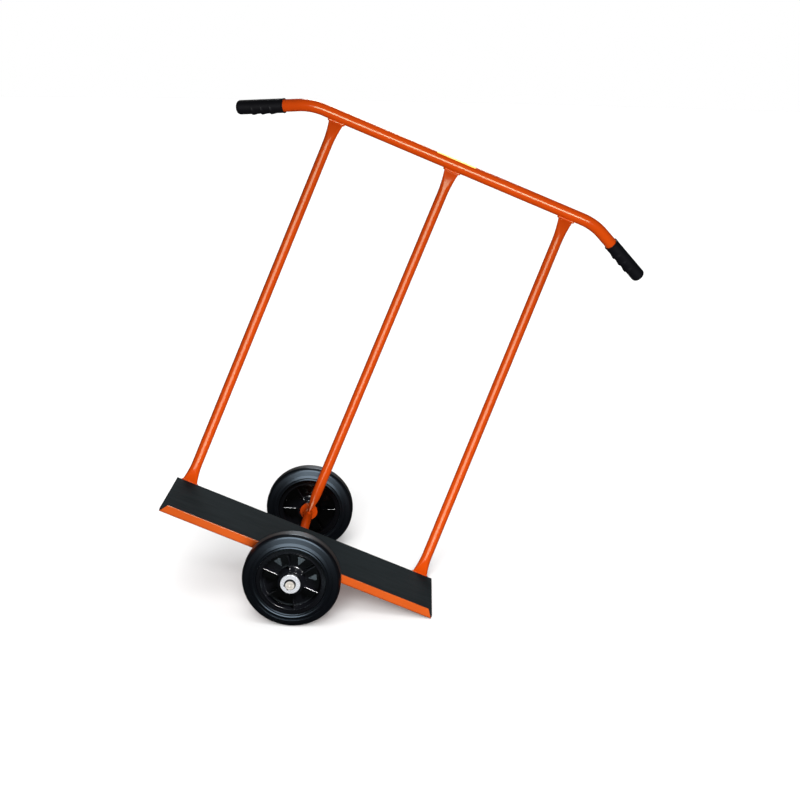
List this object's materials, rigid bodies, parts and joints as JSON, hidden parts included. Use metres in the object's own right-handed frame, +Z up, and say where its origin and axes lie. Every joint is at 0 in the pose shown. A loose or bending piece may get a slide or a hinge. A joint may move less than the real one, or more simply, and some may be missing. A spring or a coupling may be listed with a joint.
{
  "type": "panel cart",
  "caption": "Hand cart for carrying sheets and panels on edge: lipped deck with rubber mat on a wheeled axle, leaning tube frame and cranked handlebar with grips, tipped on to a deck end.",
  "frame": {"origin": "on the floor, under the middle of the cart's bounding box", "axes": "+Z up from the floor; +Y along the axle from the front wheel, which the picture shows nearest, to the rear wheel; +X towards the deck end that rests on the floor"},
  "size_m": [1.278, 0.688, 1.277],
  "materials": {
    "frame_paint": "orange powder coat, glossy",
    "mat_rubber": "matt black ribbed rubber",
    "grip_vinyl": "soft black vinyl, satin",
    "tyre": "black rubber, satin",
    "wheel_plastic": "black moulded polypropylene, semi gloss",
    "zinc_plate": "bright zinc plate",
    "spring_steel": "blackened spring steel",
    "bearing_steel": "ground steel",
    "cage_plastic": "natural nylon"
  },
  "bodies": {
    "frame": {"deck_plate": "frame_paint", "anti_slip_mat": "mat_rubber", "axle": "frame_paint", "handlebar": "frame_paint", "left_upright": "frame_paint", "right_upright": "frame_paint", "centre_strut": "frame_paint", "left_grip": "grip_vinyl", "right_grip": "grip_vinyl", "front_collar": "frame_paint", "rear_collar": "frame_paint", "front_washer": "zinc_plate", "rear_washer": "zinc_plate", "front_circlip": "spring_steel", "rear_circlip": "spring_steel"},
    "front_wheel": {"front_tyre": "tyre", "front_wheel_centre": "wheel_plastic", "front_bearing_sleeve": "bearing_steel"},
    "front_rollers": {"front_roller_cage": "cage_plastic", "front_roller_1": "bearing_steel", "front_roller_2": "bearing_steel", "front_roller_3": "bearing_steel", "front_roller_4": "bearing_steel", "front_roller_5": "bearing_steel", "front_roller_6": "bearing_steel", "front_roller_7": "bearing_steel", "front_roller_8": "bearing_steel"},
    "rear_wheel": {"rear_tyre": "tyre", "rear_wheel_centre": "wheel_plastic", "rear_bearing_sleeve": "bearing_steel"},
    "rear_rollers": {"rear_roller_cage": "cage_plastic", "rear_roller_1": "bearing_steel", "rear_roller_2": "bearing_steel", "rear_roller_3": "bearing_steel", "rear_roller_4": "bearing_steel", "rear_roller_5": "bearing_steel", "rear_roller_6": "bearing_steel", "rear_roller_7": "bearing_steel", "rear_roller_8": "bearing_steel"}
  },
  "joints": [
    {"name": "front_wheel_spin", "type": "hinge", "parent": "frame", "child": "front_wheel", "pos_m": [-0.29289, -0.30086, 0.125], "axis": [0, 1, 0], "continuous": true},
    {"name": "rear_wheel_spin", "type": "hinge", "parent": "frame", "child": "rear_wheel", "pos_m": [-0.29289, 0.18714, 0.125], "axis": [0, 1, 0], "continuous": true},
    {"name": "front_cage_spin", "type": "hinge", "parent": "frame", "child": "front_rollers", "pos_m": [-0.29289, -0.30086, 0.125], "axis": [0, 1, 0], "continuous": true},
    {"name": "rear_cage_spin", "type": "hinge", "parent": "frame", "child": "rear_rollers", "pos_m": [-0.29289, 0.18714, 0.125], "axis": [0, 1, 0], "continuous": true}
  ],
  "couplings": [
    {"joint": "front_cage_spin", "follows": "front_wheel_spin", "ratio": 0.6212},
    {"joint": "rear_cage_spin", "follows": "rear_wheel_spin", "ratio": 0.6212}
  ]
}
